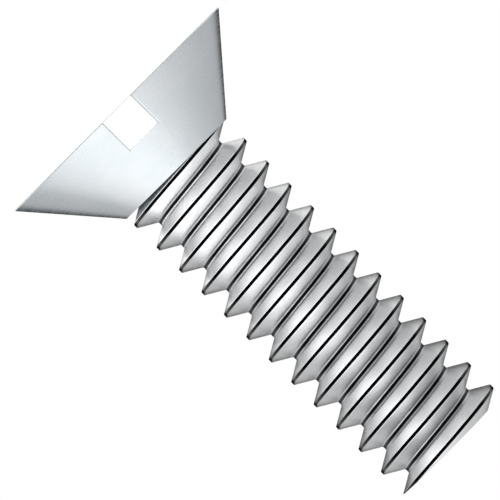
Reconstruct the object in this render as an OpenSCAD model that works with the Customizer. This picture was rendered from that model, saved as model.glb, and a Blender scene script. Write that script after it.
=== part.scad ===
// Slotted flat countersunk head machine screw, threaded up to its head, with a plain sheared tip.
// It stands on its head: the origin is the centre of the head's flat face, and +Z runs along
// the shank to the tip. The driver slot runs along Y. All lengths are in millimetres.

/* [Head] */
// Head diameter, at the corner where the face and the cone would meet
head_d = 5.8; // [5:0.05:7]
// Included angle of the countersunk cone, in degrees
head_angle = 82; // [76:1:100]
// Height of the narrow land left around the face
land_h = 0.03; // [0.01:0.01:0.12]
// Radial step from the crests of the thread out to the foot of the cone
neck_step = 0.02; // [0.01:0.01:0.1]

/* [Driver slot] */
// Width of the sawn slot
slot_w = 0.8; // [0.6:0.05:1]
// Depth of the slot below the face
slot_depth = 0.8; // [0.4:0.05:1]

/* [Shank] */
// Length over all, from the face to the sheared tip
screw_l = 9.525; // [6:0.005:16]

/* [Thread] */
// Diameter over the crests
major_d = 2.79; // [2.5:0.01:3.2]
// Distance along the axis from one crest to the next
pitch = 0.635; // [0.5:0.005:0.75]
// Included angle between the flanks, in degrees
flank_angle = 60; // [55:1:65]
// Width of the flat crest as a share of the pitch
crest_share = 0.125; // [0.08:0.005:0.16]
// Radius of the rounded root as a share of the pitch
root_share = 0.144; // [0.08:0.004:0.16]
// Direction in which a crest comes out from under the head, in degrees from +X
start_angle = 226; // [0:1:359]
// Flat steps in one turn of the thread
turn_steps = 40; // [24:4:48]
// Flat steps across the rounded root
root_steps = 3; // [2:1:4]

/* [Hidden] */
steel = "#C6CACE";
round_fn = 96;

// Head sizes
cone_slope = tan(head_angle / 2);
neck_d = major_d + 2 * neck_step;
head_h = (head_d - neck_d) / 2 / cone_slope;
face_d = head_d - 2 * land_h * cone_slope;

// Thread sizes, with a root arc that runs smoothly into both flanks
crest_w = crest_share * pitch;
root_r = root_share * pitch;
flank_tilt = flank_angle / 2;
flank_w = (pitch - crest_w) / 2 - root_r * cos(flank_tilt);
flank_depth = flank_w / tan(flank_tilt);
root_centre_r = major_d / 2 - flank_depth + root_r * sin(flank_tilt);
root_arc = 180 - flank_angle;

// The sweep begins one pitch inside the head and ends past the tip
sweep_z = head_h - pitch - crest_w / 2;
sweep_steps = ceil((screw_l - sweep_z) / pitch + 0.5) * turn_steps;

// One turn's section as [height along the axis, radius], from the start of a crest
// round to the far edge of the root
function root_point(k) =
    let (a = -90 - root_arc / 2 + k * root_arc / root_steps)
    [(pitch + crest_w) / 2 + root_r * cos(a), root_centre_r + root_r * sin(a)];
section = concat(
    [[0, major_d / 2], [crest_w, major_d / 2]],
    [for (k = [0 : root_steps]) root_point(k)]
);
section_n = len(section);

// Section point p carried i steps up a right-hand helix
function helix_point(i, p) =
    let (a = start_angle + 360 * i / turn_steps)
    [p[1] * cos(a), p[1] * sin(a), sweep_z + pitch * i / turn_steps + p[0]];

// Place in the point list of section point j at step i. The section's last edge is
// its first point one turn on, which past the sweep's end is in a list of its own.
function at(i, j) =
    j == section_n ? at(i + turn_steps, 0)
    : i <= sweep_steps ? i * section_n + j
    : (sweep_steps + 1) * section_n + i - sweep_steps - 1;

// A solid rod with the thread swept round it, one turn longer than its steps
module thread_rod() {
    rod_points = concat(
        [for (i = [0 : sweep_steps], p = section) helix_point(i, p)],
        [for (i = [1 : turn_steps]) helix_point(sweep_steps + i, section[0])],
        [[0, 0, helix_point(0, section[0]).z]],
        [[0, 0, helix_point(sweep_steps + turn_steps, section[0]).z]]
    );
    low = len(rod_points) - 2;
    high = len(rod_points) - 1;
    side_low = [for (i = [0 : sweep_steps - 1], j = [0 : section_n - 1])
        [at(i, j), at(i, j + 1), at(i + 1, j + 1)]];
    side_high = [for (i = [0 : sweep_steps - 1], j = [0 : section_n - 1])
        [at(i, j), at(i + 1, j + 1), at(i + 1, j)]];
    low_ramp = [for (i = [0 : turn_steps - 1]) [at(i, 0), at(i + 1, 0), low]];
    low_wall = [for (j = [0 : section_n - 1]) [at(0, j + 1), at(0, j), low]];
    high_ramp = [for (i = [0 : turn_steps - 1])
        [at(sweep_steps + i + 1, 0), at(sweep_steps + i, 0), high]];
    high_wall = [for (j = [0 : section_n - 1])
        [at(sweep_steps, j), at(sweep_steps, j + 1), high]];
    polyhedron(
        points = rod_points,
        faces = concat(side_low, side_high, low_ramp, low_wall, high_ramp, high_wall)
    );
}

// The rod cut off square at the tip
module shank() {
    intersection() {
        thread_rod();
        cylinder(d = major_d + pitch, h = screw_l, $fn = round_fn);
    }
}

// The turned head, with a flat face, a narrow land and the cone
module head() {
    rotate_extrude($fn = round_fn)
        polygon([
            [0, 0],
            [face_d / 2, 0],
            [face_d / 2, land_h],
            [neck_d / 2, head_h],
            [0, head_h]
        ]);
}

// The saw's path across the face
module slot() {
    translate([-slot_w / 2, -head_d, -slot_depth])
        cube([slot_w, 2 * head_d, 2 * slot_depth]);
}

module screw() {
    color(steel)
        difference() {
            union() {
                head();
                shank();
            }
            slot();
        }
}

screw();
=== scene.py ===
"""A slotted flat head machine screw in bright stainless steel, with a plain studio stage."""

import math

import bmesh
import bpy
from bpy.props import FloatProperty, IntProperty, PointerProperty, StringProperty
from mathutils import Matrix, Vector


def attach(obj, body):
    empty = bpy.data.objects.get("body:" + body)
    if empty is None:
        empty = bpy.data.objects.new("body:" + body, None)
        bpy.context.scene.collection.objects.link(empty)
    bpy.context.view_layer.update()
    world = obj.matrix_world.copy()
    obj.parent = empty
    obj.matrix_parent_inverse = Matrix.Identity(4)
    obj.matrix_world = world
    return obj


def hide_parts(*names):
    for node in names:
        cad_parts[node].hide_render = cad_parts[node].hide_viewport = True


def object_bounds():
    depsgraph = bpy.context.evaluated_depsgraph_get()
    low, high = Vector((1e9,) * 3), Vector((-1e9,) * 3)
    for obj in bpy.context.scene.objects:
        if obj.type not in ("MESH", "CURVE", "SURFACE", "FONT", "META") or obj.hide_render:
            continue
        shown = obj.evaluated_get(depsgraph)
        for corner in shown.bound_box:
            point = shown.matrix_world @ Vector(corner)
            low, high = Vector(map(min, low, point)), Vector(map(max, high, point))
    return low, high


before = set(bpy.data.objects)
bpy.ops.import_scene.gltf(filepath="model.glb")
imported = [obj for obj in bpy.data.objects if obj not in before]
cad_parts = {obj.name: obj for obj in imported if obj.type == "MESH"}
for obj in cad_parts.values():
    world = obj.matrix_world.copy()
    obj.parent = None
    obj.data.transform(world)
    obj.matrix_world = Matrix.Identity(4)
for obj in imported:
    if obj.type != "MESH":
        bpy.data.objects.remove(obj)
cad_low, cad_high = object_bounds()

bl_info = {
    "name": "Flat Head Machine Screw",
    "version": (1, 0, 0),
    "blender": (4, 5, 0),
    "location": "3D View > Sidebar > Screw",
    "description": "Makes a slotted flat head machine screw with a rolled thread, and its stage",
    "category": "Add Mesh",
}

MM = 0.001
FULL_TURN = 2 * math.pi

# Where the soft boxes aim, as a share of the screw's length, and how far the reflectors lie
# above the floor
SCREW_MIDDLE = 0.588
FLOOR_GAP = 0.1 * MM

# The mesh is made in millimetres, because bevels and merges work with tolerances that
# are too coarse for a screw in metres, and it is scaled down at the end. Points closer
# than the first length are merged, and a point closer to a plane than the second is on it.
MERGE_MM = 1e-4
ON_PLANE_MM = 1e-3

# Steps across a rounded corner and a broken edge, and once round a piece of the stage
CORNER_STEPS = 5
LIP_STEPS = 2
STAGE_STEPS = 96

# Edges that bend further than this are shaded sharp
SHARP_ANGLE = math.radians(20)

# Places of the finishes in the piece's list of materials
HEAD, SLOT, THREAD, TIP = range(4)

# The photograph: its side and its scale, and where the middle of the head's face is in it
PHOTO_SIDE_PX = 500
PHOTO_MM_PER_PX = 0.019935
FACE_CENTRE_PX = Vector((115.6, 108.1))
AXIS_TILT = math.radians(45)

# Brightness of the tent's cloth by the sine of the slope at which the screw sees it, from
# level to upright
TENT_SHADES = (
    (0.0, 0.02), (0.12, 0.03), (0.22, 0.42), (0.32, 0.5), (0.45, 0.54), (0.6, 0.58), (0.8, 0.69),
    (0.92, 0.83), (1.0, 1.0),
)

# Soft boxes round the screw's middle: direction from the front towards +X and slope, both in
# degrees, width and height in millimetres, and brightness, where 1 is white. One whose slope
# is negative is a reflector that lies on the floor.
SOFT_BOXES = (
    ("Key", 38, 37, 90, 44, 1.95),
    ("Fill", -40, 37, 80, 44, 1.1),
    ("Right side", 88, 24, 26, 26, 0.8),
    ("Left side", -92, 24, 26, 26, 0.75),
    ("Top", 98, 65, 72, 98, 0.42),
    ("Low key", 25, -37, 16, 16, 1.5),
    ("Low fill", -45, -37, 16, 16, 0.53),
    ("Low side", 100, -33, 14, 14, 1.45),
)


class ScrewSizes(bpy.types.PropertyGroup):
    """Sizes of the screw, in metres and radians."""

    length: FloatProperty(
        name="Length", description="Length over all",
        default=cad_high.z - cad_low.z, unit="LENGTH", precision=6,
    )
    face_d: FloatProperty(
        name="Face Diameter", description="Diameter of the head's flat face",
        default=2 * cad_high.x, unit="LENGTH", precision=6,
    )
    head_angle: FloatProperty(
        name="Head Angle", description="Included angle of the countersunk cone",
        default=math.radians(82), subtype="ANGLE",
    )
    land_h: FloatProperty(
        name="Land Height", description="Height of the land around the face",
        default=0.03 * MM, unit="LENGTH", precision=6,
    )
    rim_r: FloatProperty(
        name="Rim Radius", description="Radius of the worn corners above and below the land",
        default=0.012 * MM, unit="LENGTH", precision=6,
    )
    neck_step: FloatProperty(
        name="Neck Step", description="Step from the crests out to the foot of the cone",
        default=0.02 * MM, unit="LENGTH", precision=6,
    )
    slot_w: FloatProperty(
        name="Slot Width", description="Width of the sawn slot",
        default=0.8 * MM, unit="LENGTH", precision=6,
    )
    slot_depth: FloatProperty(
        name="Slot Depth", description="Depth of the sawn slot",
        default=0.8 * MM, unit="LENGTH", precision=6,
    )
    slot_corner: FloatProperty(
        name="Slot Corner", description="Radius that the saw leaves at the slot's bottom",
        default=0.03 * MM, unit="LENGTH", precision=6,
    )
    slot_lip: FloatProperty(
        name="Slot Lip", description="Broken edge around the slot's mouth",
        default=0.012 * MM, unit="LENGTH", precision=6,
    )
    major_d: FloatProperty(
        name="Major Diameter", description="Diameter over the crests",
        default=2.79 * MM, unit="LENGTH", precision=6,
    )
    pitch: FloatProperty(
        name="Pitch", description="Distance from one crest to the next",
        default=0.635 * MM, unit="LENGTH", precision=6,
    )
    flank_angle: FloatProperty(
        name="Flank Angle", description="Included angle of the thread's flanks",
        default=math.radians(60), subtype="ANGLE",
    )
    crest_w: FloatProperty(
        name="Crest Width", description="Width of the flat crest",
        default=0.0794 * MM, unit="LENGTH", precision=6,
    )
    crest_r: FloatProperty(
        name="Crest Corner", description="Radius at the corners of the crest",
        default=0.012 * MM, unit="LENGTH", precision=6,
    )
    root_r: FloatProperty(
        name="Root Radius", description="Distance from the axis to the root",
        default=1.007 * MM, unit="LENGTH", precision=6,
    )
    root_corner: FloatProperty(
        name="Root Corner", description="Radius between the root and the flanks",
        default=0.045 * MM, unit="LENGTH", precision=6,
    )
    start_angle: FloatProperty(
        name="Start Angle", description="Direction in which a crest leaves the head, from +X",
        default=math.radians(226), subtype="ANGLE",
    )
    turn_steps: IntProperty(
        name="Steps a Turn", description="Flat steps in one turn of the thread and the head",
        default=120, min=24,
    )


class ScrewFinish(bpy.types.PropertyGroup):
    """Colours of the steel, as sRGB hex values."""

    turned: StringProperty(
        name="Turned Steel", description="Bright steel of the head", default="#E1E5E8",
    )
    turned_film: StringProperty(
        name="Filmed Turned Steel", description="The head where its skin of oxide is thicker",
        default="#DBE1E5",
    )
    rolled: StringProperty(
        name="Rolled Steel", description="Burnished steel of the thread", default="#E5E6E7",
    )
    rolled_film: StringProperty(
        name="Filmed Rolled Steel", description="The thread where its skin of oxide is thicker",
        default="#E1E2E3",
    )
    # Painted shade: near black, for the thin line along each crest and for the thread's roots
    painted_shade: StringProperty(
        name="Painted Shade", description="Painted shade along the crests and in the roots of the thread",
        default="#232527",
    )
    sawn: StringProperty(
        name="Sawn Steel", description="Steel of the slot", default="#D0D4D7",
    )
    sheared: StringProperty(
        name="Sheared Steel", description="Dull steel of the tip and of the slot's scratches",
        default="#BCC0C4",
    )
    torn: StringProperty(
        name="Torn Steel", description="Torn grain of the tip", default="#9EA2A6",
    )


class StageSetup(bpy.types.PropertyGroup):
    """The floor, the lamps, the tent round the screw and the camera."""

    floor_colour: StringProperty(
        name="Floor", description="Colour of the pale floor", default="#EDEDED",
    )
    floor_r: FloatProperty(
        name="Floor Radius", description="Radius of the floor", default=600 * MM, unit="LENGTH",
    )
    sky: FloatProperty(
        name="Sky", description="Strength of the even light from all round", default=0.9, min=0,
    )
    lamps: FloatProperty(
        name="Lamps", description="Level of all the soft boxes together", default=1.0, min=0,
    )
    lamp_r: FloatProperty(
        name="Lamp Distance", description="Distance of the soft boxes from the screw's middle",
        default=50 * MM, unit="LENGTH",
    )
    tent_r: FloatProperty(
        name="Tent Radius", description="Radius of the cloth tent round the screw",
        default=100 * MM, unit="LENGTH",
    )
    camera_h: FloatProperty(
        name="Camera Height", description="Height of the lens, low enough to look along the slot",
        default=0.3 * MM, unit="LENGTH", precision=6,
    )
    lens: FloatProperty(
        name="Lens", description="Focal length, long enough to look almost parallel",
        default=1200, unit="CAMERA",
    )


def linear(colour):
    """An sRGB hex value such as #CDD1D4 as a linear RGBA colour."""
    def channel(text):
        value = int(text, 16) / 255
        return value / 12.92 if value <= 0.04045 else ((value + 0.055) / 1.055) ** 2.4

    return (*(channel(colour[i:i + 2]) for i in (1, 3, 5)), 1.0)


def add_node(tree, kind, inputs=(), **settings):
    """Adds a node with its settings, and fills its inputs or joins them to other nodes."""
    node = tree.nodes.new(kind)
    for name, value in settings.items():
        setattr(node, name, value)
    for socket, value in dict(inputs).items():
        if isinstance(value, bpy.types.Node):
            value = next(output for output in value.outputs if output.enabled)
        if isinstance(value, bpy.types.NodeSocket):
            tree.links.new(value, node.inputs[socket])
        else:
            node.inputs[socket].default_value = value
    return node


def rounded(corners, radii):
    """A line through corners, whose inner ones are turned into arcs of the given radii."""
    points = [corners[0]]
    for before, corner, after, radius in zip(corners, corners[1:], corners[2:], radii):
        if radius == 0:
            points.append(corner)
            continue
        back = (before - corner).normalized()
        ahead = (after - corner).normalized()
        half = back.angle(ahead) / 2
        centre = corner + (back + ahead).normalized() * radius / math.sin(half)
        first = corner + back * radius / math.tan(half) - centre
        last = corner + ahead * radius / math.tan(half) - centre
        shares = [k / CORNER_STEPS for k in range(CORNER_STEPS + 1)]
        points += [centre + first.slerp(last, share) * radius for share in shares]
    return points + [corners[-1]]


def spun(bm, outline, start, steps, rise=0.0):
    """Spins an outline of (radius, height) points once round Z, rising a little at each step."""
    direction = Vector((math.cos(start), math.sin(start)))
    verts = [bm.verts.new((*(direction * r), z)) for r, z in outline]
    edges = [bm.edges.new(pair) for pair in zip(verts, verts[1:])]
    bmesh.ops.spin(
        bm, geom=verts + edges, cent=(0, 0, 0), axis=(0, 0, 1), dvec=(0, 0, rise),
        angle=FULL_TURN, steps=steps, use_merge=rise == 0,
    )


def cut(bm, faces, place, normal, **clear):
    """Cuts faces with a plane."""
    # The parts are kept in their own order, because a set's order changes from run to run
    edges = dict.fromkeys(e for f in faces for e in f.edges)
    verts = dict.fromkeys(v for f in faces for v in f.verts)
    bmesh.ops.bisect_plane(
        bm, geom=[*verts, *edges, *faces], dist=MERGE_MM, plane_co=place, plane_no=normal, **clear
    )


def fill(bm, finish, inside):
    """Closes the open edges whose ends both pass the test with one flat face."""
    edges = [e for e in bm.edges if len(e.link_faces) < 2 and all(inside(v.co) for v in e.verts)]
    made = bmesh.ops.contextual_create(bm, geom=edges)["faces"]
    if len(made) != 1:
        raise RuntimeError(f"{len(edges)} open edges made {len(made)} faces, not one")
    made[0].material_index = finish


def head_height(s):
    """Height of the head in millimetres, from its face to the neck."""
    cone_w = s.face_d / 2 - s.major_d / 2 - s.neck_step
    return (s.land_h + cone_w / math.tan(s.head_angle / 2)) / MM


def make_head(bm, s, head_h):
    """The turned head: the face's rim, a land and a cone that ends in an open neck."""
    face_r = s.face_d / MM / 2
    land_h = s.land_h / MM
    neck_r = s.major_d / MM / 2 + s.neck_step / MM
    rim_r = s.rim_r / MM
    # Only a narrow ring of the face is spun, because the slot splits the rest of it
    ring_w = 3 * rim_r
    corners = [(face_r - ring_w, 0), (face_r, 0), (face_r, land_h), (neck_r, head_h)]
    outline = rounded([Vector(c) for c in corners], [rim_r, rim_r])
    spun(bm, outline, 0, s.turn_steps)
    bmesh.ops.remove_doubles(bm, verts=bm.verts, dist=MERGE_MM)


def saw_slot(bm, s):
    """The slot, cut across the open head shell and closed with walls and a bottom."""
    half, depth = s.slot_w / MM / 2, s.slot_depth / MM
    reach = half + s.face_d / MM / 8
    # Extra cuts just outside the slot keep the shading of its broken edges close to them
    margin = s.slot_corner / MM + 2 * s.slot_lip / MM

    def near():
        return [f for f in bm.faces
                if abs(f.calc_center_median().x) < reach and min(v.co.z for v in f.verts) < depth]

    def shallow(faces):
        return [f for f in faces if max(v.co.z for v in f.verts) < depth + ON_PLANE_MM]

    def on(value, target):
        return abs(value - target) < ON_PLANE_MM

    cut(bm, bm.faces[:], (0, 0, depth + margin), (0, 0, 1))
    for x in (-half - margin, half + margin):
        cut(bm, near(), (x, 0, 0), (1, 0, 0))
    cut(bm, near(), (0, 0, depth), (0, 0, 1))
    for x in (half, -half):
        cut(bm, shallow(near()), (x, 0, 0), (1, 0, 0))
    sawn = [f for f in shallow(bm.faces) if abs(f.calc_center_median().x) < half]
    bmesh.ops.delete(bm, geom=sawn, context="FACES")

    inner_corners = []
    for side in (-1, 1):
        for height in (0, depth):
            ends = [v for v in bm.verts if on(v.co.x, side * half) and on(v.co.z, height)]
            front = max((v for v in ends if v.co.y < 0), key=lambda v: v.co.y)
            back = min((v for v in ends if v.co.y > 0), key=lambda v: v.co.y)
            edge = bm.edges.new((front, back))
            if height == depth:
                inner_corners.append(edge)
        fill(bm, SLOT, lambda co: on(co.x, side * half))
        fill(bm, HEAD, lambda co: on(co.z, 0) and co.x * side > half - ON_PLANE_MM)
    fill(bm, SLOT, lambda co: on(co.z, depth) and abs(co.x) < half + ON_PLANE_MM)
    bmesh.ops.recalc_face_normals(bm, faces=bm.faces)
    bmesh.ops.bevel(
        bm, geom=inner_corners, offset=s.slot_corner / MM, offset_type="OFFSET",
        segments=CORNER_STEPS, affect="EDGES", profile=0.5, material=-1,
    )
    lips = [e for e in bm.edges if {f.material_index for f in e.link_faces} == {HEAD, SLOT}]
    bmesh.ops.bevel(
        bm, geom=lips, offset=s.slot_lip / MM, offset_type="OFFSET",
        segments=LIP_STEPS, affect="EDGES", profile=0.5, material=-1,
    )


def make_thread(bm, s, head_h):
    """The rolled thread, swept from inside the head to past the tip and cut off square."""
    crest, root, pitch = s.major_d / MM / 2, s.root_r / MM, s.pitch / MM
    half_crest = s.crest_w / MM / 2
    half_root = pitch / 2 - half_crest - (crest - root) * math.tan(s.flank_angle / 2)
    corners = [
        (crest, 0),
        (crest, half_crest),
        (root, pitch / 2 - half_root),
        (root, pitch / 2 + half_root),
        (crest, pitch - half_crest),
        (crest, pitch),
    ]
    crest_r, corner_r = s.crest_r / MM, s.root_corner / MM
    # The first turn starts two pitches below the neck, and its part in the head is cut away
    low = head_h - 2 * pitch
    section = rounded([Vector(c) for c in corners], [crest_r, corner_r, corner_r, crest_r])
    section = [(r, low + z) for r, z in section]
    thread = bmesh.new()
    spun(thread, section, s.start_angle, s.turn_steps, pitch / s.turn_steps)
    one_turn = thread.verts[:] + thread.edges[:] + thread.faces[:]
    for turn in range(1, math.ceil((s.length / MM - low) / pitch) + 1):
        made = bmesh.ops.duplicate(thread, geom=one_turn)["geom"]
        copied = [g for g in made if isinstance(g, bmesh.types.BMVert)]
        bmesh.ops.translate(thread, vec=(0, 0, turn * pitch), verts=copied)
    bmesh.ops.remove_doubles(thread, verts=thread.verts, dist=MERGE_MM)
    cut(thread, thread.faces[:], (0, 0, head_h), (0, 0, 1), clear_inner=True)
    cut(thread, thread.faces[:], (0, 0, s.length / MM), (0, 0, 1), clear_outer=True)
    for face in thread.faces:
        face.material_index = THREAD
    fill(thread, TIP, lambda co: co.z > s.length / MM - ON_PLANE_MM)
    swept = bpy.data.meshes.new("swept")
    thread.to_mesh(swept)
    thread.free()
    bm.from_mesh(swept)
    bpy.data.meshes.remove(swept)


def join_neck(bm, head_h):
    """Closes the step between the cone's foot and the thread, which the dies tear as they end."""
    open_edges = [e for e in bm.edges
                  if e.is_boundary and all(abs(v.co.z - head_h) < ON_PLANE_MM for v in e.verts)]
    made = bmesh.ops.triangle_fill(bm, edges=open_edges, use_beauty=True)["geom"]
    for face in (g for g in made if isinstance(g, bmesh.types.BMFace)):
        face.material_index = TIP


def screw_mesh(s):
    """The whole screw as one closed mesh, in metres."""
    bm = bmesh.new()
    head_h = head_height(s)
    make_head(bm, s, head_h)
    saw_slot(bm, s)
    make_thread(bm, s, head_h)
    join_neck(bm, head_h)
    bmesh.ops.dissolve_degenerate(bm, edges=bm.edges, dist=MERGE_MM)
    bmesh.ops.recalc_face_normals(bm, faces=bm.faces)
    loose = [e for e in bm.edges if not e.is_contiguous]
    if loose:
        place = loose[0].verts[0].co
        raise RuntimeError(f"{len(loose)} edges of the screw are open, such as at {place}")
    for face in bm.faces:
        face.smooth = True
    for edge in bm.edges:
        finishes = {face.material_index for face in edge.link_faces}
        edge.smooth = len(finishes) == 1 and edge.calc_face_angle() < SHARP_ANGLE
    bmesh.ops.scale(bm, vec=(MM, MM, MM), verts=bm.verts)
    mesh = bpy.data.meshes.new("screw")
    bm.to_mesh(mesh)
    bm.free()
    return mesh


def new_material(name):
    """An empty material and its node tree."""
    material = bpy.data.materials.new(name)
    material.use_nodes = True
    material.node_tree.nodes.clear()
    return material, material.node_tree


def from_axis(tree):
    """The place in millimetres, its three coordinates, and the distance from the screw's axis."""
    metres = add_node(tree, "ShaderNodeTexCoord").outputs["Object"]
    place = add_node(tree, "ShaderNodeVectorMath", {0: metres, "Scale": 1 / MM}, operation="SCALE")
    parts = add_node(tree, "ShaderNodeSeparateXYZ", {0: place})
    flat = add_node(tree, "ShaderNodeVectorMath", {0: place, 1: (1, 1, 0)}, operation="MULTIPLY")
    radius = add_node(tree, "ShaderNodeVectorMath", {0: flat}, operation="LENGTH")
    return place, parts.outputs, radius


def filmed(tree, place, clear, film):
    """Bright steel that a clear skin of oxide clouds very faintly, in patches."""
    patch_mm = 0.9
    cloud = add_node(
        tree, "ShaderNodeTexNoise", {"Vector": place, "Scale": 1 / patch_mm, "Detail": 2.0},
    )
    patch = add_node(
        tree, "ShaderNodeMapRange", {"Value": cloud, "From Min": 0.35, "From Max": 0.65},
        interpolation_type="SMOOTHSTEP",
    )
    return add_node(
        tree, "ShaderNodeMix",
        {"Factor": patch, "A": linear(clear), "B": linear(film)}, data_type="RGBA",
    )


def streaks(tree, place, across, width, length):
    """Noise drawn out into lines, with their width and length in millimetres."""
    slow = add_node(tree, "ShaderNodeVectorMath", {0: place, "Scale": 1 / length}, operation="SCALE")
    quick = add_node(tree, "ShaderNodeMath", {0: across, 1: 1 / width}, operation="MULTIPLY")
    return add_node(
        tree, "ShaderNodeTexNoise", {"Vector": slow, "W": quick, "Scale": 1.0, "Detail": 3.0},
        noise_dimensions="4D",
    )


def bare_metal(tree, colour, roughness, relief, depth):
    """Ends a material as a bare metal, with fine relief of the given depth in metres."""
    bump = add_node(tree, "ShaderNodeBump", {"Height": relief, "Distance": depth})
    shader = add_node(
        tree, "ShaderNodeBsdfPrincipled",
        {"Base Color": colour, "Metallic": 1.0, "Roughness": roughness, "Normal": bump},
    )
    add_node(tree, "ShaderNodeOutputMaterial", {"Surface": shader})


def turned_steel(finish):
    """The head's face, rim and cone."""
    # Bright stainless turned on a lathe: the tool leaves fine rings round the axis, which
    # draw a highlight out along the cone, and a clear skin of oxide clouds it very faintly.
    material, tree = new_material("Turned stainless steel")
    place, parts, radius = from_axis(tree)
    # The tool's real rings are about 0.01 mm apart, finer than a pixel, so they are 0.04 mm here.
    along = add_node(tree, "ShaderNodeMath", {0: radius, 1: parts["Z"]}, operation="SUBTRACT")
    rings = streaks(tree, place, along, width=0.04, length=6.0)
    roughness = add_node(
        tree, "ShaderNodeMapRange",
        {"Value": rings, "From Min": 0.3, "From Max": 0.7, "To Min": 0.21, "To Max": 0.29},
    )
    colour = filmed(tree, place, finish.turned, finish.turned_film)
    bare_metal(tree, colour, roughness, rings, depth=1.2e-6)
    return material


def sawn_steel(finish):
    """The slot's walls and bottom."""
    # Cut by a slitting saw that runs along the slot: its teeth leave straight scratches
    # along the walls and the bottom, so the slot is duller and a little darker than the head.
    material, tree = new_material("Sawn stainless steel")
    place, parts, _ = from_axis(tree)
    across = add_node(tree, "ShaderNodeMath", {0: parts["X"], 1: parts["Z"]}, operation="ADD")
    scratches = streaks(tree, place, across, width=0.03, length=2.5)
    tooth = add_node(
        tree, "ShaderNodeMapRange", {"Value": scratches, "From Min": 0.4, "From Max": 0.7},
    )
    colour = add_node(
        tree, "ShaderNodeMix",
        {"Factor": tooth, "A": linear(finish.sawn), "B": linear(finish.sheared)}, data_type="RGBA",
    )
    roughness = add_node(
        tree, "ShaderNodeMapRange",
        {"Value": scratches, "From Min": 0.3, "From Max": 0.7, "To Min": 0.3, "To Max": 0.42},
    )
    bare_metal(tree, colour, roughness, scratches, depth=2.5e-6)
    return material


def rolled_steel(s, finish):
    """The thread."""
    # Rolled between hard dies: the flanks are burnished, with faint lines along the thread.
    # A dark line painted along each crest stands for the fold where the metal met and the
    # shade in it, and the roots are darkened with painted shade.
    material, tree = new_material("Rolled stainless steel")
    place, parts, radius = from_axis(tree)
    pitch = s.pitch / MM
    # Which part of the thread this is: 0 and 1 at a crest, and 0.5 in the root between them
    turned = add_node(tree, "ShaderNodeMath", {0: parts["Y"], 1: parts["X"]}, operation="ARCTAN2")
    risen = add_node(
        tree, "ShaderNodeMath",
        {0: parts["Z"], 1: 1 / pitch, 2: s.start_angle / FULL_TURN - head_height(s) / pitch},
        operation="MULTIPLY_ADD",
    )
    laps = add_node(
        tree, "ShaderNodeMath", {0: turned, 1: -1 / FULL_TURN, 2: risen}, operation="MULTIPLY_ADD",
    )
    lap = add_node(tree, "ShaderNodeMath", {0: laps}, operation="FRACT")
    share = add_node(tree, "ShaderNodeMath", {0: lap, 1: 0.5}, operation="PINGPONG")
    from_crest = add_node(tree, "ShaderNodeMath", {0: share, 1: pitch}, operation="MULTIPLY")

    # Where the painted shade in the root and along the crest begins to fade and where it ends, in
    # millimetres from the middle of the root and of the crest, and how far its edge in the root wanders
    root_shade_w, root_shade_end = 0.03, 0.055
    fold_shade_w, fold_shade_end = 0.024, 0.04
    wander, wander_length = 0.015, 0.3
    from_root = add_node(tree, "ShaderNodeMath", {0: pitch / 2, 1: from_crest}, operation="SUBTRACT")
    patch = add_node(
        tree, "ShaderNodeTexNoise", {"Vector": place, "Scale": 1 / wander_length, "Detail": 2.0},
    )
    root_shade_edge = add_node(
        tree, "ShaderNodeMath", {0: patch, 1: wander, 2: from_root}, operation="MULTIPLY_ADD",
    )
    # Painted shade in the roots, with an edge that wanders a little
    root_shade = add_node(
        tree, "ShaderNodeMapRange", {"Value": root_shade_edge, "From Min": root_shade_end, "From Max": root_shade_w},
        interpolation_type="SMOOTHSTEP",
    )
    # A thin painted dark line along each crest, for the fold where the metal met and its shade
    fold_shade = add_node(
        tree, "ShaderNodeMapRange", {"Value": from_crest, "From Min": fold_shade_end, "From Max": fold_shade_w},
        interpolation_type="SMOOTHSTEP",
    )
    # Both masks lay painted shade over the bright steel
    dark = add_node(tree, "ShaderNodeMath", {0: root_shade, 1: fold_shade}, operation="MAXIMUM")
    bright = filmed(tree, place, finish.rolled, finish.rolled_film)
    colour = add_node(
        tree, "ShaderNodeMix", {"Factor": dark, "A": bright, "B": linear(finish.painted_shade)},
        data_type="RGBA",
    )

    # The dies' real lines are some thousandths of a millimetre wide, and are 0.035 mm here.
    across = add_node(tree, "ShaderNodeMath", {0: lap, 1: pitch}, operation="MULTIPLY")
    lines = streaks(tree, place, across, width=0.035, length=1.5)
    depth = add_node(
        tree, "ShaderNodeMapRange",
        {"Value": radius, "From Min": s.root_r / MM, "From Max": s.major_d / MM / 2},
    )
    # The roughness falls from the root out to the polished crest, and the lines add a little
    worn = add_node(tree, "ShaderNodeValToRGB", {"Fac": depth})
    set_stops(worn, ((0.0, 0.3), (0.1, 0.3), (0.2, 0.28), (0.9, 0.26), (1.0, 0.12)))
    roughness = add_node(
        tree, "ShaderNodeMath", {0: lines, 1: 0.08, 2: worn.outputs["Color"]},
        operation="MULTIPLY_ADD",
    )
    bare_metal(tree, colour, roughness, lines, depth=0.7e-6)
    return material


def sheared_steel(finish):
    """The flat tip, and the step at the neck."""
    # Sheared off the wire, or torn where the dies end: straight drag lines and torn grain,
    # matt and a little darker.
    material, tree = new_material("Sheared stainless steel")
    place, parts, _ = from_axis(tree)
    drag = streaks(tree, place, parts["X"], width=0.05, length=1.2)
    grain_mm = 0.06
    grain = add_node(
        tree, "ShaderNodeTexNoise", {"Vector": place, "Scale": 1 / grain_mm, "Detail": 4.0},
    )
    relief = add_node(tree, "ShaderNodeMath", {0: drag, 1: 2.0, 2: grain}, operation="MULTIPLY_ADD")
    torn = add_node(tree, "ShaderNodeMapRange", {"Value": relief, "From Min": 1.2, "From Max": 1.9})
    colour = add_node(
        tree, "ShaderNodeMix",
        {"Factor": torn, "A": linear(finish.sheared), "B": linear(finish.torn)}, data_type="RGBA",
    )
    roughness = add_node(
        tree, "ShaderNodeMapRange",
        {"Value": relief, "From Min": 1.1, "From Max": 1.9, "To Min": 0.38, "To Max": 0.52},
    )
    bare_metal(tree, colour, roughness, relief, depth=2.5e-6)
    return material


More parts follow.
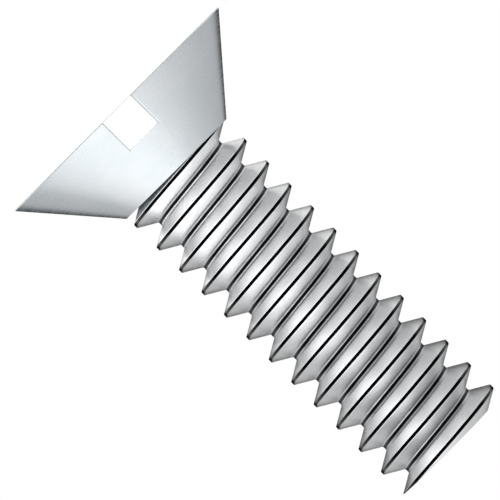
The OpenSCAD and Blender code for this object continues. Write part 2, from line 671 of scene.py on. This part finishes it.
def set_stops(node, stops):
    """Sets a colour ramp's stops, each a position and a linear brightness."""
    elements = node.color_ramp.elements
    for index, (where, shade) in enumerate(stops):
        stop = elements[index] if index < 2 else elements.new(where)
        stop.position = where
        stop.color = (shade, shade, shade, 1)


def white_for(tree):
    """A factor of 1 where the camera, a reflection or a clear body looks at the background."""
    rays = add_node(tree, "ShaderNodeLightPath").outputs
    direct = add_node(
        tree, "ShaderNodeMath", {0: rays["Is Camera Ray"], 1: rays["Is Glossy Ray"]},
        operation="MAXIMUM",
    )
    return add_node(
        tree, "ShaderNodeMath", {0: direct, 1: rays["Is Transmission Ray"]}, operation="MAXIMUM",
    )


def make_world(scene, setup):
    """A white background, and an even light from all round."""
    world = bpy.data.worlds.new("Studio")
    scene.world = world
    world.use_nodes = True
    tree = world.node_tree
    tree.nodes.clear()
    strength = add_node(
        tree, "ShaderNodeMapRange", {"Value": white_for(tree), "To Min": setup.sky, "To Max": 1.0},
    )
    light = add_node(tree, "ShaderNodeBackground", {"Color": (1, 1, 1, 1), "Strength": strength})
    add_node(tree, "ShaderNodeOutputWorld", {"Surface": light})


def stage_piece(name, outline, material):
    """A round piece of the stage, spun from (radius, height) points in millimetres."""
    bm = bmesh.new()
    spun(bm, outline, 0, STAGE_STEPS)
    bmesh.ops.remove_doubles(bm, verts=bm.verts, dist=MERGE_MM)
    bmesh.ops.scale(bm, vec=(MM, MM, MM), verts=bm.verts)
    mesh = bpy.data.meshes.new(name)
    bm.to_mesh(mesh)
    bm.free()
    mesh.materials.append(material)
    piece = bpy.data.objects.new(name, mesh)
    bpy.context.scene.collection.objects.link(piece)
    return piece


def floor_paint(setup):
    """Matt white paper, which takes the screw's soft shadow and turns pure white further out."""
    # Distances from the axis in millimetres
    white_from, white_to = 15, 45
    material, tree = new_material("White paper")
    _, _, radius = from_axis(tree)
    paper = add_node(tree, "ShaderNodeBsdfDiffuse", {"Color": linear(setup.floor_colour)})
    white = add_node(tree, "ShaderNodeEmission", {"Color": (1, 1, 1, 1), "Strength": 1.0})
    far = add_node(
        tree, "ShaderNodeMapRange", {"Value": radius, "From Min": white_from, "From Max": white_to},
        interpolation_type="SMOOTHSTEP",
    )
    factor = add_node(tree, "ShaderNodeMath", {0: far, 1: white_for(tree)}, operation="MULTIPLY")
    mixed = add_node(tree, "ShaderNodeMixShader", {0: factor, 1: paper, 2: white})
    add_node(tree, "ShaderNodeOutputMaterial", {"Surface": mixed})
    return material


def make_tent(setup, middle):
    """A cloth tent, which only reflections see, with a dark band level with the screw."""
    # A dome that is open at its top, and a ground sheet that leaves the floor round the screw bare
    r = setup.tent_r / MM
    opening, steps = math.radians(12), 12
    angles = [k * (math.pi / 2 - opening) / steps for k in range(steps + 1)]
    dome = [(r * math.cos(a), r * math.sin(a)) for a in angles]
    bare_r, sheet_h = 10, 0.02
    material, tree = new_material("Tent cloth")
    material.cycles.emission_sampling = "NONE"
    place, _, _ = from_axis(tree)
    from_screw = add_node(
        tree, "ShaderNodeVectorMath", {0: place, 1: middle / MM}, operation="SUBTRACT",
    )
    towards = add_node(tree, "ShaderNodeVectorMath", {0: from_screw}, operation="NORMALIZE")
    parts = add_node(tree, "ShaderNodeSeparateXYZ", {0: towards}).outputs
    steep = add_node(tree, "ShaderNodeMath", {0: parts["Z"]}, operation="ABSOLUTE")
    cloth = add_node(tree, "ShaderNodeValToRGB", {"Fac": steep})
    set_stops(cloth, TENT_SHADES)
    # A black card stands behind the screw, where the direction's Y is near 1
    card = add_node(
        tree, "ShaderNodeMapRange",
        {"Value": parts["Y"], "From Min": 0.84, "From Max": 0.97, "To Min": 1.0, "To Max": 0.05},
        interpolation_type="SMOOTHSTEP",
    )
    shade = add_node(
        tree, "ShaderNodeMath", {0: cloth.outputs["Color"], 1: card}, operation="MULTIPLY",
    )
    # The dark band is broken on both sides of the card
    beside = add_node(tree, "ShaderNodeValToRGB", {"Fac": parts["Y"]})
    set_stops(beside, ((0.05, 0), (0.2, 0.8), (0.72, 0.8), (0.88, 0)))
    level = add_node(tree, "ShaderNodeMapRange", {"Value": steep, "From Min": 0.42, "From Max": 0.28})
    gap = add_node(
        tree, "ShaderNodeMath", {0: beside.outputs["Color"], 1: level}, operation="MULTIPLY",
    )
    colour = add_node(tree, "ShaderNodeMath", {0: shade, 1: gap}, operation="MAXIMUM")
    glow = add_node(tree, "ShaderNodeEmission", {"Color": colour})
    add_node(tree, "ShaderNodeOutputMaterial", {"Surface": glow})
    tent = stage_piece("tent", [(bare_r, sheet_h), *dome], material)
    for hidden in ("visible_camera", "visible_diffuse", "visible_shadow"):
        setattr(tent, hidden, False)


def soft_box(setup, middle, name, turn, slope, width, height, brightness):
    """A soft box or reflector that lights the screw, brightest in its own middle."""
    turn, slope = math.radians(turn), math.radians(slope)
    level = math.cos(slope)
    towards = Vector((level * math.sin(turn), -level * math.cos(turn), math.sin(slope)))
    if slope > 0:
        place = middle + towards * setup.lamp_r
        back = towards
    else:
        place = middle + towards * (middle.z - FLOOR_GAP) / -towards.z
        back = Vector((0, 0, -1))
    data = bpy.data.lights.new(name, "AREA")
    data.shape = "ELLIPSE"
    data.size, data.size_y = width * MM, height * MM
    area = data.size * data.size_y * math.pi / 4
    data.energy = brightness * setup.lamps * math.pi * area
    data.use_nodes = True
    tree = data.node_tree
    tree.nodes.clear()
    across = add_node(tree, "ShaderNodeNewGeometry").outputs["Parametric"]
    centred = add_node(
        tree, "ShaderNodeVectorMath", {0: across, 1: (2, 2, 0), 2: (-1, -1, 0)},
        operation="MULTIPLY_ADD",
    )
    out = add_node(tree, "ShaderNodeVectorMath", {0: centred, 1: centred}, operation="DOT_PRODUCT")
    fade = add_node(tree, "ShaderNodeMath", {0: 1.0, 1: out}, operation="SUBTRACT", use_clamp=True)
    glow = add_node(tree, "ShaderNodeEmission", {"Color": (1, 1, 1, 1), "Strength": fade})
    add_node(tree, "ShaderNodeOutputLight", {"Surface": glow})
    lamp = bpy.data.objects.new(name, data)
    bpy.context.scene.collection.objects.link(lamp)
    lamp.location = place
    lamp.rotation_euler = back.to_track_quat("Z", "Y").to_euler()
    lamp.visible_camera = False


def place_camera(scene, setup):
    """A long lens just above the floor, turned so that the screw lies as in the photograph."""
    right = Vector((-math.sin(AXIS_TILT), 0, math.cos(AXIS_TILT)))
    down = Vector((math.cos(AXIS_TILT), 0, math.sin(AXIS_TILT)))
    offset = Vector((PHOTO_SIDE_PX / 2,) * 2) - FACE_CENTRE_PX
    aim = (offset.x * right + offset.y * down) * PHOTO_MM_PER_PX * MM
    data = bpy.data.cameras.new("Camera")
    camera = bpy.data.objects.new("Camera", data)
    scene.collection.objects.link(camera)
    data.lens = setup.lens
    # The photograph's scale is taken at the front of the crests
    front = scene.screw_sizes.major_d / 2
    distance = front + PHOTO_SIDE_PX * PHOTO_MM_PER_PX * MM * data.lens / data.sensor_width
    data.clip_start, data.clip_end = distance / 10, distance * 10
    place = Vector((aim.x, -distance, setup.camera_h))
    back = (place - aim).normalized()
    up = back.cross(right).normalized()
    turned = Matrix((up.cross(back), up, back)).transposed().to_4x4()
    camera.matrix_world = Matrix.Translation(place) @ turned
    scene.camera = camera


class SCREW_OT_make_screw(bpy.types.Operator):
    """Make the screw in one piece, with a finish for each way its surfaces were made"""

    bl_idname = "screw.make_screw"
    bl_label = "Make Screw"

    def execute(self, context):
        sizes, finish = context.scene.screw_sizes, context.scene.screw_finish
        screw = bpy.data.objects.new("machine_screw", screw_mesh(sizes))
        context.scene.collection.objects.link(screw)
        for material in (
            turned_steel(finish), sawn_steel(finish), rolled_steel(sizes, finish), sheared_steel(finish),
        ):
            screw.data.materials.append(material)
        weighted = screw.modifiers.new("Weighted Normal", "WEIGHTED_NORMAL")
        weighted.keep_sharp = True
        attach(screw, "root")
        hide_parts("screw")
        return {"FINISHED"}


class SCREW_OT_set_stage(bpy.types.Operator):
    """Lay the floor, hang the lamps and place the camera"""

    bl_idname = "screw.set_stage"
    bl_label = "Set Stage"

    def execute(self, context):
        setup = context.scene.stage_setup
        context.scene.view_settings.view_transform = "Standard"
        make_world(context.scene, setup)
        stage_piece("floor", [(0, 0), (setup.floor_r / MM, 0)], floor_paint(setup))
        middle = Vector((0, 0, context.scene.screw_sizes.length * SCREW_MIDDLE))
        make_tent(setup, middle)
        for box in SOFT_BOXES:
            soft_box(setup, middle, *box)
        place_camera(context.scene, setup)
        return {"FINISHED"}


class SCREW_PT_panel(bpy.types.Panel):
    """The screw and its stage, with the sizes and colours of each"""

    bl_label = "Machine Screw"
    bl_idname = "SCREW_PT_panel"
    bl_space_type = "VIEW_3D"
    bl_region_type = "UI"
    bl_category = "Screw"

    def draw(self, context):
        scene = context.scene
        for maker, groups in (
            ("screw.make_screw", (scene.screw_sizes, scene.screw_finish)),
            ("screw.set_stage", (scene.stage_setup,)),
        ):
            box = self.layout.box()
            for group in groups:
                for name in type(group).__annotations__:
                    box.prop(group, name)
            box.operator(maker)


CLASSES = (
    ScrewSizes, ScrewFinish, StageSetup, SCREW_OT_make_screw, SCREW_OT_set_stage, SCREW_PT_panel,
)


def register():
    for cls in CLASSES:
        bpy.utils.register_class(cls)
    bpy.types.Scene.screw_sizes = PointerProperty(type=ScrewSizes)
    bpy.types.Scene.screw_finish = PointerProperty(type=ScrewFinish)
    bpy.types.Scene.stage_setup = PointerProperty(type=StageSetup)


def unregister():
    del bpy.types.Scene.stage_setup
    del bpy.types.Scene.screw_finish
    del bpy.types.Scene.screw_sizes
    for cls in reversed(CLASSES):
        bpy.utils.unregister_class(cls)


def main():
    register()
    bpy.ops.screw.make_screw()
    bpy.ops.screw.set_stage()


if __name__ == "__main__":
    main()
